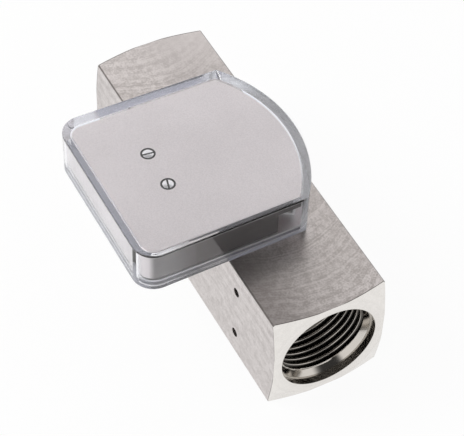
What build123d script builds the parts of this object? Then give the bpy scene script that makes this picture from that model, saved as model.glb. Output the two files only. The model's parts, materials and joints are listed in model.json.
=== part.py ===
from build123d import *
import os
from math import asin, atan, cos, degrees, hypot, radians, sin, sqrt, tan

# Variable area flow meter with a side-reading display, in millimetres.
# X runs along the bore with the inlet at +X, Z is up, and the origin is
# the centre of the body's underside.

# Body
body_length = 131.4
body_width = 40.0
body_height = 40.0
body_edge_chamfer = 0.4
end_land_radius = 20.7
end_cone_angle = 17.0

# Ports for G 1 pipe threads
port_thread_radius = 16.62
port_mouth_radius = 17.0
port_mouth_depth = 2.7
port_thread_length = 19.0

# Bores between the ports
seat_bore_radius = 14.5
measuring_bore_radius = 13.0
inlet_seat_length = 13.0
outlet_seat_length = 11.0
circlip_groove_depth = 0.6

# Tapped holes in the side of the body
side_hole_radius = 1.65
side_hole_depth = 6.0
side_hole_end_distance = 25.7
side_hole_height = 19.7
side_hole_spacing = 20.7

# Clearances
slip_gap = 0.08
press_gap = 0.02
running_gap = 0.05
stop_gap = 0.3

# Metering sleeve, its seal and the two spiders
sleeve_flange_length = 4.5
sleeve_throat_radius = 8.8
sleeve_outlet_radius = 12.0
sleeve_end_gap = 0.5
sleeve_entry_chamfer = 1.2
seal_groove_width = 2.4
seal_groove_depth = 1.8
spider_thickness = 3.0
spider_rim_width = 2.2
spider_leg_width = 2.0
spider_leg_count = 3
spider_hub_radius = 5.2
spider_nose_length = 2.0
inlet_hub_length = 8.5
outlet_hub_length = 5.5
circlip_thickness = 1.2
circlip_width = 2.0
circlip_gap_angle = 40.0
circlip_lug_radius = 1.9
circlip_eye_radius = 0.8

# Guide rod, float and return spring
rod_radius = 2.5
rod_socket_wall = 2.0
rod_end_chamfer = 0.4
float_bore_gap = 0.4
float_head_radius = 8.6
float_head_length = 3.2
float_neck_length = 2.0
float_head_chamfer = 1.0
float_stem_radius = 6.6
float_pocket_wall = 0.9
float_tube_wall = 0.7
float_cap_length = 2.5
float_cap_chamfer = 0.45
bush_wall = 0.85
bush_length = 3.5
magnet_ring_length = 10.0
spring_wire_radius = 0.35
spring_wire_sides = 8
spring_mean_radius = 4.3
spring_turns = 8

# Display outline, seen from above: a straight back, two straight sides
# and an arc window about the pointer's pivot
display_center_x = 2.5
display_length = 65.0
display_back_y = -50.5
window_center_y = -30.7
window_radius = 50.0
back_corner_radius = 7.5
window_corner_radius = 2.0

# Clear cover, base plate and seal
cover_height = 16.0
cover_wall = 2.6
cover_top = 2.5
cover_edge_radius = 0.5
base_plate_thickness = 2.6
base_plate_gap = 0.15
cover_seal_height = 1.1
cover_seal_depth = 0.9
base_screw_span_x = 40.0
base_screw_span_y = 12.0
base_screw_center_y = -8.0
base_screw_radius = 2.0
base_screw_head_radius = 3.8
base_screw_length = 8.0
base_screw_drive_radius = 1.3
base_screw_drive_depth = 1.4
base_screw_head_angle = 90.0

# Hood over the mechanism, its pillars and its two slotted screws
hood_gap = 0.4
hood_top_gap = 0.3
hood_top = 2.0
hood_skirt = 1.4
hood_skirt_gap = 0.5
hood_edge_radius = 0.6
hood_skirt_end_y = -2.0
hood_screw_center_x = 1.0
hood_screw_y = -28.5
hood_screw_spacing = 14.5
hood_screw_radius = 1.0
hood_screw_length = 5.0
hood_screw_head_radius = 1.95
hood_screw_head_height = 1.3
hood_screw_slot_width = 0.5
hood_screw_slot_depth = 0.6
hood_screw_slot_angles = (81.6, -14.5)
hood_counterbore_gap = 0.35
pillar_radius = 2.0
pillar_spigot_radius = 1.3

# Pointer's spindle
post_radius = 1.5
post_collar_radius = 2.6
post_collar_height = 0.6
post_top_gap = 0.25
post_groove_depth = 0.3
clip_radius = 2.8
clip_thickness = 0.4
clip_opening = 1.9

# Pointer assembly
hub_radius = 3.3
hub_barrel_radius = 2.85
hub_spigot_radius = 2.55
hub_bush_wall = 0.7
arm_eye_radius = 3.8
hub_side_gap = 0.1
hub_flange_thickness = 0.3
magnet_arm_thickness = 1.0
magnet_arm_width = 3.0
magnet_arm_overlap = 0.5
magnet_pad_border = 0.5
magnet_pad_corner = 1.0
follower_magnet_length = 8.0
follower_magnet_width = 6.0
follower_magnet_height = 3.0
tail_inner_radius = 6.0
tail_outer_radius = 13.0
tail_half_angle = 28.0
counterweight_height = 4.4
pointer_thickness = 0.5
pointer_root_width = 3.0
pointer_tip_width = 1.6
pointer_window_gap = 1.0
pointer_hood_gap = 1.1
pointer_tip_drop = 5.0

# Scale strip behind the window
scale_thickness = 0.8
scale_pointer_gap = 0.9
scale_top_gap = 0.6
scale_half_angle = 34.0
scale_foot_length = 5.4
scale_foot_angle = 7.0
scale_screw_radius = 1.0
scale_screw_head_radius = 1.8
scale_screw_head_height = 1.2
scale_screw_slot_width = 0.5
scale_screw_slot_depth = 0.6
scale_screw_floor = 0.3

# Places along the bore
bore_height = body_height / 2
end_x = body_length / 2
thread_start_x = end_x - port_mouth_depth
thread_end_x = thread_start_x - port_thread_length
inlet_shoulder_x = thread_end_x - inlet_seat_length
outlet_shoulder_x = outlet_seat_length - thread_end_x
sleeve_face_x = inlet_shoulder_x + sleeve_flange_length
sleeve_end_x = outlet_shoulder_x + sleeve_end_gap
inlet_spider_face_x = sleeve_face_x + spider_thickness
outlet_spider_face_x = outlet_shoulder_x - spider_thickness
inlet_hub_x = inlet_spider_face_x - inlet_hub_length
outlet_hub_x = outlet_spider_face_x + outlet_hub_length
float_front_x = inlet_hub_x - stop_gap
magnet_front_x = float_front_x - float_head_length - float_neck_length
magnet_back_x = magnet_front_x - magnet_ring_length
float_back_x = magnet_back_x - float_cap_length
rest_magnet_x = (magnet_front_x + magnet_back_x) / 2
side_hole_x = end_x - side_hole_end_distance

# The float travels as far past the pivot as it starts before it
float_travel = 2 * (rest_magnet_x - display_center_x)

# Radii shared by pieces that fit together
fitted_seat_radius = seat_bore_radius - slip_gap
bush_inner_radius = rod_radius + running_gap
bush_outer_radius = bush_inner_radius + bush_wall
float_tube_inner_radius = rod_radius + float_bore_gap
float_tube_outer_radius = float_tube_inner_radius + float_tube_wall
magnet_inner_radius = float_tube_outer_radius + slip_gap
magnet_outer_radius = float_stem_radius - float_pocket_wall - slip_gap
groove_radius = seat_bore_radius + circlip_groove_depth
window_inner_radius = window_radius - cover_wall

# Heights in the display
display_floor_z = body_height
base_top_z = display_floor_z + base_plate_thickness
cover_ceiling_z = display_floor_z + cover_height - cover_top
hood_top_z = cover_ceiling_z - hood_top_gap
hood_ceiling_z = hood_top_z - hood_top
skirt_foot_z = base_top_z + hood_skirt_gap
collar_top_z = base_top_z + post_collar_height
hub_foot_z = collar_top_z + hub_side_gap
arm_foot_z = hub_foot_z + hub_flange_thickness
arm_top_z = arm_foot_z + magnet_arm_thickness
pointer_top_z = hood_ceiling_z - pointer_hood_gap
pointer_foot_z = pointer_top_z - pointer_thickness
clip_foot_z = pointer_top_z + hub_side_gap
post_top_z = hood_ceiling_z - post_top_gap
scale_top_z = pointer_foot_z - scale_top_gap

# The pointer follows the float's magnet, so its arm reaches the bore axis
magnet_arm_reach = -window_center_y
half_swing = degrees(atan(float_travel / 2 / magnet_arm_reach))
pointer_tip_radius = window_inner_radius - pointer_window_gap
scale_outer_radius = pointer_tip_radius - pointer_thickness - scale_pointer_gap
scale_inner_radius = scale_outer_radius - scale_thickness

bore_axis = Axis((0, 0, bore_height), (1, 0, 0))
bore_profile_plane = Plane(origin=(0, 0, bore_height), x_dir=(1, 0, 0), z_dir=(0, -1, 0))
pivot = (display_center_x, window_center_y)

os.makedirs("parts", exist_ok=True)


def save(piece, name):
    """Label one finished piece and write it under its own name."""
    piece.label = name
    export_step(piece, f"parts/{name}.step")
    print(name, round(piece.volume, 1))


def across_bore(x):
    """Plane square to the bore at x, facing +X, with its own +Y pointing up."""
    return Plane(origin=(x, 0, bore_height), x_dir=(0, 1, 0), z_dir=(1, 0, 0))


def on_pivot(z):
    """Level plane on the pivot, with its own +Y along the pointer at rest."""
    turn = radians(half_swing)
    return Plane(origin=(*pivot, z), x_dir=(cos(turn), -sin(turn), 0), z_dir=(0, 0, 1))


def turned_profile(points):
    """Closed profile of (x, radius) points, to be revolved about the bore."""
    with BuildSketch(bore_profile_plane) as profile:
        with BuildLine():
            Polyline(*points, close=True)
        make_face()
    return profile.sketch


def display_outline(z, inset):
    """Outline of the display at z, drawn inwards by inset from the cover's outer face."""
    left = display_center_x - display_length / 2 + inset
    right = display_center_x + display_length / 2 - inset
    back = display_back_y + inset
    radius = window_radius - inset
    half = display_length / 2 - inset
    shoulder = window_center_y + sqrt(radius**2 - half**2)
    crown = (display_center_x, window_center_y + radius)
    with BuildSketch(Plane.XY.offset(z)) as outline:
        with BuildLine():
            Polyline((left, shoulder), (left, back), (right, back), (right, shoulder))
            ThreePointArc((right, shoulder), crown, (left, shoulder))
        make_face()
        corners = outline.vertices().sort_by(Axis.Y)
        fillet(corners[:2], max(back_corner_radius - inset, cover_edge_radius))
        corners = outline.vertices().sort_by(Axis.Y)
        fillet(corners[-2:], max(window_corner_radius - inset, cover_edge_radius))
    return outline.sketch


def annular_sector(inner, outer, middle, half):
    """Ring segment about the sketch's centre; angles in degrees from its +X."""
    start = middle - half
    a, b = radians(start), radians(middle + half)
    with BuildLine() as edge:
        CenterArc((0, 0), outer, start, 2 * half)
        Line((outer * cos(b), outer * sin(b)), (inner * cos(b), inner * sin(b)))
        CenterArc((0, 0), inner, start, 2 * half)
        Line((inner * cos(a), inner * sin(a)), (outer * cos(a), outer * sin(a)))
    make_face(edge.edges())


# Body: a square bar with turned ends, bored right through
corner_radius = hypot(body_width, body_height) / 2 + stop_gap
corner_setback = (corner_radius - end_land_radius) * tan(radians(end_cone_angle))
base_screw_hole_depth = base_screw_length - base_plate_thickness + stop_gap
with BuildPart() as body:
    with BuildSketch(across_bore(-end_x)):
        Rectangle(body_width, body_height)
    extrude(amount=body_length)
    chamfer(body.edges().filter_by(Axis.X), body_edge_chamfer)
    profile = turned_profile([
        (-end_x, 0),
        (-end_x, end_land_radius),
        (corner_setback - end_x, corner_radius),
        (end_x - corner_setback, corner_radius),
        (end_x, end_land_radius),
        (end_x, 0),
    ])
    revolve(profile, axis=bore_axis, mode=Mode.INTERSECT)
    profile = turned_profile([
        (-end_x, 0),
        (-end_x, port_mouth_radius),
        (-thread_start_x, port_mouth_radius),
        (-thread_start_x, port_thread_radius),
        (-thread_end_x, port_thread_radius),
        (-thread_end_x, seat_bore_radius),
        (outlet_shoulder_x, seat_bore_radius),
        (outlet_shoulder_x, measuring_bore_radius),
        (inlet_shoulder_x, measuring_bore_radius),
        (inlet_shoulder_x, seat_bore_radius),
        (thread_end_x, seat_bore_radius),
        (thread_end_x, port_thread_radius),
        (thread_start_x, port_thread_radius),
        (thread_start_x, port_mouth_radius),
        (end_x, port_mouth_radius),
        (end_x, 0),
    ])
    revolve(profile, axis=bore_axis, mode=Mode.SUBTRACT)
    groove_width = circlip_thickness + running_gap
    for groove_x in (inlet_spider_face_x, outlet_spider_face_x - groove_width):
        with BuildSketch(across_bore(groove_x)):
            Circle(groove_radius)
        extrude(amount=groove_width, mode=Mode.SUBTRACT)
    side_face = Plane(
        origin=(side_hole_x, -body_width / 2, side_hole_height), x_dir=(1, 0, 0), z_dir=(0, -1, 0)
    )
    with Locations(side_face):
        with GridLocations(0, side_hole_spacing, 1, 2):
            Hole(side_hole_radius, depth=side_hole_depth)
    with Locations((display_center_x, base_screw_center_y, display_floor_z)):
        with GridLocations(base_screw_span_x, base_screw_span_y, 2, 2):
            Hole(base_screw_radius + press_gap, depth=base_screw_hole_depth)
save(body.part, "body")

# Metering sleeve: its bore widens from the throat towards the outlet
seal_x = inlet_shoulder_x + sleeve_flange_length / 2
seal_floor_radius = fitted_seat_radius - seal_groove_depth
sleeve_tube_radius = measuring_bore_radius - slip_gap
with BuildPart() as metering_sleeve:
    profile = turned_profile([
        (sleeve_end_x, sleeve_outlet_radius),
        (sleeve_end_x, sleeve_tube_radius),
        (inlet_shoulder_x, sleeve_tube_radius),
        (inlet_shoulder_x, fitted_seat_radius),
        (seal_x - seal_groove_width / 2, fitted_seat_radius),
        (seal_x - seal_groove_width / 2, seal_floor_radius),
        (seal_x + seal_groove_width / 2, seal_floor_radius),
        (seal_x + seal_groove_width / 2, fitted_seat_radius),
        (sleeve_face_x, fitted_seat_radius),
        (sleeve_face_x, sleeve_throat_radius + sleeve_entry_chamfer),
        (sleeve_face_x - sleeve_entry_chamfer, sleeve_throat_radius),
    ])
    revolve(profile, axis=bore_axis)
save(metering_sleeve.part, "metering_sleeve")

# Sleeve seal: an O-ring in the flange's groove
seal_center_radius = (seal_floor_radius + seat_bore_radius) / 2
seal_section_radius = (seat_bore_radius - seal_floor_radius) / 2 - press_gap
with BuildPart() as sleeve_seal:
    with BuildSketch(bore_profile_plane):
        with Locations((seal_x, seal_center_radius)):
            Circle(seal_section_radius)
    revolve(axis=bore_axis)
save(sleeve_seal.part, "sleeve_seal")


def spider(near_x, far_x, hub_x, outward):
    """Rim, legs and domed hub that hold one end of the guide rod."""
    rim_inner = fitted_seat_radius - spider_rim_width
    leg_length = rim_inner - spider_hub_radius + spider_rim_width
    leg_middle = spider_hub_radius + leg_length / 2 - spider_rim_width / 2
    dome_radius = (spider_hub_radius**2 + spider_nose_length**2) / (2 * spider_nose_length)
    dome_center = far_x + outward * (spider_nose_length - dome_radius)
    half_dome = asin(spider_hub_radius / dome_radius) / 2
    dome_middle = (
        dome_center + outward * dome_radius * cos(half_dome),
        dome_radius * sin(half_dome),
    )
    socket_x = far_x - outward * rod_socket_wall
    with BuildPart() as made:
        with BuildSketch(across_bore(min(near_x, far_x))):
            Circle(fitted_seat_radius)
            Circle(rim_inner, mode=Mode.SUBTRACT)
            with PolarLocations(leg_middle, spider_leg_count, start_angle=90):
                Rectangle(leg_length, spider_leg_width)
        extrude(amount=spider_thickness)
        with BuildSketch(bore_profile_plane):
            with BuildLine():
                Polyline((far_x, spider_hub_radius), (hub_x, spider_hub_radius), (hub_x, 0))
                Line((hub_x, 0), (far_x + outward * spider_nose_length, 0))
                ThreePointArc(
                    (far_x + outward * spider_nose_length, 0),
                    dome_middle,
                    (far_x, spider_hub_radius),
                )
            make_face()
        revolve(axis=bore_axis)
        with BuildSketch(across_bore(min(hub_x, socket_x))):
            Circle(rod_radius + press_gap)
        extrude(amount=abs(socket_x - hub_x), mode=Mode.SUBTRACT)
    return made.part


# Spiders: each sits against a shoulder and is held there by a circlip
save(spider(sleeve_face_x, inlet_spider_face_x, inlet_hub_x, 1), "inlet_spider")
save(spider(outlet_shoulder_x, outlet_spider_face_x, outlet_hub_x, -1), "outlet_spider")


def circlip(low_x):
    """Internal circlip with two eyed lugs beside its gap."""
    outer = groove_radius - running_gap
    inner = outer - circlip_width
    lug_center = inner - circlip_lug_radius / 2
    lug_angle = circlip_gap_angle / 2 + degrees(asin(circlip_lug_radius / lug_center))
    with BuildPart() as made:
        with BuildSketch(across_bore(low_x)):
            annular_sector(inner, outer, -90, 180 - circlip_gap_angle / 2)
            for side in (-1, 1):
                with PolarLocations(lug_center, 1, start_angle=90 + side * lug_angle):
                    Circle(circlip_lug_radius)
                    Circle(circlip_eye_radius, mode=Mode.SUBTRACT)
        extrude(amount=circlip_thickness)
    return made.part


# Circlips: spring steel rings in the body's grooves
save(circlip(inlet_spider_face_x), "inlet_circlip")
save(circlip(outlet_spider_face_x - circlip_thickness), "outlet_circlip")

# Guide rod: pressed into both spiders
rod_high_x = inlet_spider_face_x - rod_socket_wall
rod_low_x = outlet_spider_face_x + rod_socket_wall
with BuildPart() as guide_rod:
    with BuildSketch(across_bore(rod_low_x)):
        Circle(rod_radius)
    extrude(amount=rod_high_x - rod_low_x)
    chamfer(guide_rod.edges().filter_by(GeomType.CIRCLE), rod_end_chamfer)
save(guide_rod.part, "guide_rod")

# Float: a metering head with a magnet pocket behind it
bush_seat_radius = bush_outer_radius + press_gap
pocket_radius = float_stem_radius - float_pocket_wall
with BuildPart() as float_body:
    profile = turned_profile([
        (float_front_x, bush_seat_radius),
        (float_front_x, float_head_radius - float_head_chamfer),
        (float_front_x - float_head_chamfer, float_head_radius),
        (float_front_x - float_head_length, float_head_radius),
        (magnet_front_x, float_stem_radius),
        (magnet_back_x, float_stem_radius),
        (magnet_back_x, pocket_radius),
        (magnet_front_x, pocket_radius),
        (magnet_front_x, float_tube_outer_radius),
        (magnet_back_x, float_tube_outer_radius),
        (magnet_back_x, float_tube_inner_radius),
        (float_front_x - bush_length, float_tube_inner_radius),
        (float_front_x - bush_length, bush_seat_radius),
    ])
    revolve(profile, axis=bore_axis)
save(float_body.part, "float_body")

# Float magnet: a ring in the pocket
with BuildPart() as float_magnet:
    with BuildSketch(across_bore(magnet_back_x)):
        Circle(magnet_outer_radius)
        Circle(magnet_inner_radius, mode=Mode.SUBTRACT)
    extrude(amount=magnet_ring_length)
save(float_magnet.part, "float_magnet")

# Float cap: closes the pocket and carries the rear bush
with BuildPart() as float_cap:
    with BuildSketch(across_bore(float_back_x)):
        Circle(float_stem_radius)
        Circle(bush_seat_radius, mode=Mode.SUBTRACT)
    extrude(amount=float_cap_length)
    cap_rims = float_cap.edges().filter_by(GeomType.CIRCLE).group_by(Axis.X)[0]
    chamfer(cap_rims.sort_by(SortBy.RADIUS)[-1], float_cap_chamfer)
save(float_cap.part, "float_cap")

# Float bushes: plain plastic rings that slide on the rod
with BuildPart() as float_bushes:
    for low_x, length in (
        (float_front_x - bush_length, bush_length),
        (float_back_x, float_cap_length),
    ):
        with BuildSketch(across_bore(low_x)):
            Circle(bush_outer_radius)
            Circle(bush_inner_radius, mode=Mode.SUBTRACT)
        extrude(amount=length)
save(float_bushes.part, "float_bushes")

# Return spring: wound between the outlet hub and the float's cap. Flats on
# the thin wire keep the coil's facets few.
spring_start_x = outlet_hub_x + running_gap + spring_wire_radius
spring_end_x = float_back_x - running_gap - spring_wire_radius
spring_height = spring_end_x - spring_start_x
with BuildPart() as return_spring:
    with BuildLine():
        coil = Helix(
            spring_height / spring_turns,
            spring_height,
            spring_mean_radius,
            center=(spring_start_x, 0, bore_height),
            direction=(1, 0, 0),
        )
    with BuildSketch(Plane(origin=coil @ 0, z_dir=coil % 0)):
        RegularPolygon(spring_wire_radius, spring_wire_sides)
    sweep(path=coil, is_frenet=True)
save(return_spring.part, "return_spring")

# Base plate: its edge is grooved for the cover's seal
plate_inset = cover_wall + base_plate_gap
plate_lip = (base_plate_thickness - cover_seal_height) / 2
seal_foot_z = display_floor_z + plate_lip
seal_top_z = seal_foot_z + cover_seal_height
scale_foot_radius = scale_inner_radius - scale_foot_length / 2
scale_foot_middle = scale_half_angle - scale_foot_angle / 2
scale_screw_places = [
    (
        display_center_x + side * scale_foot_radius * sin(radians(scale_foot_middle)),
        window_center_y + scale_foot_radius * cos(radians(scale_foot_middle)),
    )
    for side in (-1, 1)
]
with BuildPart() as base_plate:
    for foot_z, height, inset in (
        (display_floor_z, plate_lip, plate_inset),
        (seal_foot_z, cover_seal_height, plate_inset + cover_seal_depth),
        (seal_top_z, plate_lip, plate_inset),
    ):
        extrude(display_outline(foot_z, inset), amount=height)
    with Locations((display_center_x, base_screw_center_y, base_top_z)):
        with GridLocations(base_screw_span_x, base_screw_span_y, 2, 2):
            CounterSinkHole(
                base_screw_radius + slip_gap,
                base_screw_head_radius + press_gap,
                depth=base_plate_thickness,
                counter_sink_angle=base_screw_head_angle,
            )
    with Locations((hood_screw_center_x, hood_screw_y, base_top_z)):
        with GridLocations(hood_screw_spacing, 0, 2, 1):
            Hole(pillar_spigot_radius + press_gap, depth=base_plate_thickness)
    with Locations((*pivot, base_top_z)):
        Hole(post_radius + press_gap, depth=base_plate_thickness)
    with Locations(*[(x, y, base_top_z) for x, y in scale_screw_places]):
        Hole(scale_screw_radius + press_gap, depth=base_plate_thickness)
save(base_plate.part, "base_plate")

# Cover seal: a rubber cord pressed into the base plate's groove
seal_groove_floor = display_outline(seal_foot_z, plate_inset + cover_seal_depth - press_gap)
with BuildPart() as cover_seal:
    seal_outline = display_outline(seal_foot_z + press_gap, cover_wall + press_gap)
    extrude(seal_outline, amount=cover_seal_height - 2 * press_gap)
    extrude(seal_groove_floor, amount=cover_seal_height, mode=Mode.SUBTRACT)
save(cover_seal.part, "cover_seal")

# Base screws: four countersunk socket screws into the body
screw_cone_height = (base_screw_head_radius - base_screw_radius) / tan(
    radians(base_screw_head_angle / 2)
)
with BuildPart() as base_screws:
    with Locations((display_center_x, base_screw_center_y, base_top_z)):
        with GridLocations(base_screw_span_x, base_screw_span_y, 2, 2):
            Cylinder(
                base_screw_radius,
                base_screw_length,
                align=(Align.CENTER, Align.CENTER, Align.MAX),
            )
            Cone(
                base_screw_radius,
                base_screw_head_radius,
                screw_cone_height,
                align=(Align.CENTER, Align.CENTER, Align.MAX),
            )
    with BuildSketch(Plane.XY.offset(base_top_z)):
        with Locations((display_center_x, base_screw_center_y)):
            with GridLocations(base_screw_span_x, base_screw_span_y, 2, 2):
                RegularPolygon(base_screw_drive_radius, 6)
    extrude(amount=-base_screw_drive_depth, mode=Mode.SUBTRACT)
save(base_screws.part, "base_screws")

# Clear cover: a moulded cap, open below
with BuildPart() as clear_cover:
    extrude(display_outline(display_floor_z, 0), amount=cover_height)
    fillet(clear_cover.faces().sort_by(Axis.Z)[-1].edges(), cover_edge_radius)
    cover_hollow = display_outline(display_floor_z, cover_wall)
    extrude(cover_hollow, amount=cover_height - cover_top, mode=Mode.SUBTRACT)
save(clear_cover.part, "clear_cover")

# Hood: bent sheet, open towards the curved window
hood_inset = cover_wall + hood_gap
hood_inner_height = hood_ceiling_z - skirt_foot_z
with BuildPart() as mechanism_hood:
    extrude(display_outline(skirt_foot_z, hood_inset), amount=hood_top_z - skirt_foot_z)
    fillet(mechanism_hood.faces().sort_by(Axis.Z)[-1].edges(), hood_edge_radius)
    hollow = display_outline(skirt_foot_z, hood_inset + hood_skirt)
    extrude(hollow, amount=hood_inner_height, mode=Mode.SUBTRACT)
    with BuildSketch(Plane.XY.offset(skirt_foot_z)):
        with Locations((display_center_x, hood_skirt_end_y)):
            Rectangle(display_length, window_radius, align=(Align.CENTER, Align.MIN))
    extrude(amount=hood_inner_height, mode=Mode.SUBTRACT)
    with Locations((hood_screw_center_x, hood_screw_y, hood_top_z)):
        with GridLocations(hood_screw_spacing, 0, 2, 1):
            CounterBoreHole(
                hood_screw_radius + slip_gap,
                hood_screw_head_radius + hood_counterbore_gap,
                hood_screw_head_height,
                depth=hood_top,
            )
save(mechanism_hood.part, "mechanism_hood")

# Hood pillars: shouldered posts pressed into the base plate
pillar_height = hood_ceiling_z - base_top_z
screw_in_pillar = hood_screw_length - (hood_top - hood_screw_head_height)
with BuildPart() as hood_pillars:
    with Locations((hood_screw_center_x, hood_screw_y, base_top_z)):
        with GridLocations(hood_screw_spacing, 0, 2, 1):
            Cylinder(
                pillar_radius, pillar_height, align=(Align.CENTER, Align.CENTER, Align.MIN)
            )
            Cylinder(
                pillar_spigot_radius,
                base_plate_thickness,
                align=(Align.CENTER, Align.CENTER, Align.MAX),
            )
    with Locations((hood_screw_center_x, hood_screw_y, hood_ceiling_z)):
        with GridLocations(hood_screw_spacing, 0, 2, 1):
            Hole(hood_screw_radius + press_gap, depth=screw_in_pillar + stop_gap)
save(hood_pillars.part, "hood_pillars")

# Hood screws: slotted cheese heads sunk flush with the hood
head_foot_z = hood_top_z - hood_screw_head_height
hood_screw_slot_length = 2 * (hood_screw_head_radius + stop_gap)
with BuildPart() as hood_screws:
    with Locations((hood_screw_center_x, hood_screw_y, head_foot_z)):
        with GridLocations(hood_screw_spacing, 0, 2, 1):
            Cylinder(
                hood_screw_head_radius,
                hood_screw_head_height,
                align=(Align.CENTER, Align.CENTER, Align.MIN),
            )
            Cylinder(
                hood_screw_radius,
                hood_screw_length,
                align=(Align.CENTER, Align.CENTER, Align.MAX),
            )
    with BuildSketch(Plane.XY.offset(hood_top_z)):
        for side, angle in zip((-0.5, 0.5), hood_screw_slot_angles):
            with Locations((hood_screw_center_x + side * hood_screw_spacing, hood_screw_y)):
                Rectangle(hood_screw_slot_length, hood_screw_slot_width, rotation=angle)
    extrude(amount=-hood_screw_slot_depth, mode=Mode.SUBTRACT)
save(hood_screws.part, "hood_screws")

# Pointer's spindle: a collared post with a groove for its clip
with BuildPart() as pivot_post:
    with BuildSketch(Plane.XY.offset(display_floor_z)):
        with Locations(pivot):
            Circle(post_radius)
    extrude(amount=post_top_z - display_floor_z)
    with BuildSketch(Plane.XY.offset(base_top_z)):
        with Locations(pivot):
            Circle(post_collar_radius)
    extrude(amount=post_collar_height)
    with BuildSketch(Plane.XY.offset(clip_foot_z - press_gap)):
        with Locations(pivot):
            Circle(post_radius + press_gap)
            Circle(post_radius - post_groove_depth, mode=Mode.SUBTRACT)
    extrude(amount=clip_thickness + 2 * press_gap, mode=Mode.SUBTRACT)
save(pivot_post.part, "pivot_post")

# Pivot clip: snaps into the post's groove above the pointer
with BuildPart() as pivot_clip:
    with BuildSketch(Plane.XY.offset(clip_foot_z)):
        with Locations(pivot):
            Circle(clip_radius)
            Circle(post_radius - post_groove_depth + press_gap, mode=Mode.SUBTRACT)
            Rectangle(
                clip_opening, 2 * clip_radius, align=(Align.CENTER, Align.MAX), mode=Mode.SUBTRACT
            )
    extrude(amount=clip_thickness)
save(pivot_clip.part, "pivot_clip")

# Pointer hub: a flanged barrel whose spigot carries the pointer
hub_bore_radius = post_radius + running_gap + hub_bush_wall
with BuildPart() as pointer_hub:
    for foot_z, top_z, radius in (
        (hub_foot_z, arm_foot_z, hub_radius),
        (arm_foot_z, pointer_foot_z, hub_barrel_radius),
        (pointer_foot_z, pointer_top_z, hub_spigot_radius),
    ):
        with BuildSketch(on_pivot(foot_z)):
            Circle(radius)
            Circle(hub_bore_radius + press_gap, mode=Mode.SUBTRACT)
        extrude(amount=top_z - foot_z)
save(pointer_hub.part, "pointer_hub")

# Hub bush: a plain plastic sleeve that turns on the post
with BuildPart() as hub_bush:
    with BuildSketch(on_pivot(hub_foot_z)):
        Circle(hub_bore_radius)
        Circle(post_radius + running_gap, mode=Mode.SUBTRACT)
    extrude(amount=pointer_top_z - hub_foot_z)
save(hub_bush.part, "hub_bush")

# Magnet arm: reaches over the bore and carries a counterweight behind
arm_strip_length = magnet_arm_reach + tail_inner_radius + 2 * magnet_arm_overlap
pad_length = follower_magnet_length + 2 * magnet_pad_border
pad_width = follower_magnet_width + 2 * magnet_pad_border
with BuildPart() as magnet_arm:
    with BuildSketch(on_pivot(arm_foot_z)):
        Circle(arm_eye_radius)
        with Locations((0, (magnet_arm_reach - tail_inner_radius) / 2)):
            Rectangle(magnet_arm_width, arm_strip_length)
        with Locations((0, magnet_arm_reach)):
            RectangleRounded(pad_length, pad_width, magnet_pad_corner)
        annular_sector(tail_inner_radius, tail_outer_radius, -90, tail_half_angle)
        Circle(hub_barrel_radius + press_gap, mode=Mode.SUBTRACT)
    extrude(amount=magnet_arm_thickness)
save(magnet_arm.part, "magnet_arm")

# Counterweight: balances the arm about the pivot
with BuildPart() as counterweight:
    with BuildSketch(on_pivot(arm_top_z)):
        annular_sector(tail_inner_radius, tail_outer_radius, -90, tail_half_angle)
    extrude(amount=counterweight_height)
save(counterweight.part, "counterweight")

# Follower magnet: a bar on the arm's end, above the float's ring
with BuildPart() as follower_magnet:
    with BuildSketch(on_pivot(arm_top_z)):
        with Locations((0, magnet_arm_reach)):
            Rectangle(follower_magnet_length, follower_magnet_width)
    extrude(amount=follower_magnet_height)
save(follower_magnet.part, "follower_magnet")

# Pointer: a tapered strip whose tip is bent down in front of the scale
tip_center = pointer_tip_radius - pointer_thickness / 2
with BuildPart() as pointer:
    with BuildSketch(on_pivot(pointer_foot_z)):
        Circle(hub_radius)
        with BuildLine():
            Polyline(
                (-pointer_root_width / 2, 0),
                (pointer_root_width / 2, 0),
                (pointer_tip_width / 2, pointer_tip_radius),
                (-pointer_tip_width / 2, pointer_tip_radius),
                close=True,
            )
        make_face()
        Circle(hub_spigot_radius + press_gap, mode=Mode.SUBTRACT)
    extrude(amount=pointer_thickness)
    with BuildSketch(on_pivot(pointer_top_z - pointer_tip_drop)):
        with Locations((0, tip_center)):
            Rectangle(pointer_tip_width, pointer_thickness)
    extrude(amount=pointer_tip_drop)
save(pointer.part, "pointer")

# Scale strip: rolled to the window's curve, with a foot at each end
with BuildPart() as scale_strip:
    with BuildSketch(Plane(origin=(*pivot, base_top_z))):
        annular_sector(scale_inner_radius, scale_outer_radius, 90, scale_half_angle)
    extrude(amount=scale_top_z - base_top_z)
    with BuildSketch(Plane(origin=(*pivot, base_top_z))):
        for side in (-1, 1):
            annular_sector(
                scale_inner_radius - scale_foot_length,
                scale_outer_radius,
                90 + side * scale_foot_middle,
                scale_foot_angle / 2,
            )
    extrude(amount=scale_thickness)
    with Locations(*[(x, y, base_top_z + scale_thickness) for x, y in scale_screw_places]):
        Hole(scale_screw_radius + slip_gap, depth=scale_thickness)
save(scale_strip.part, "scale_strip")

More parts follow.
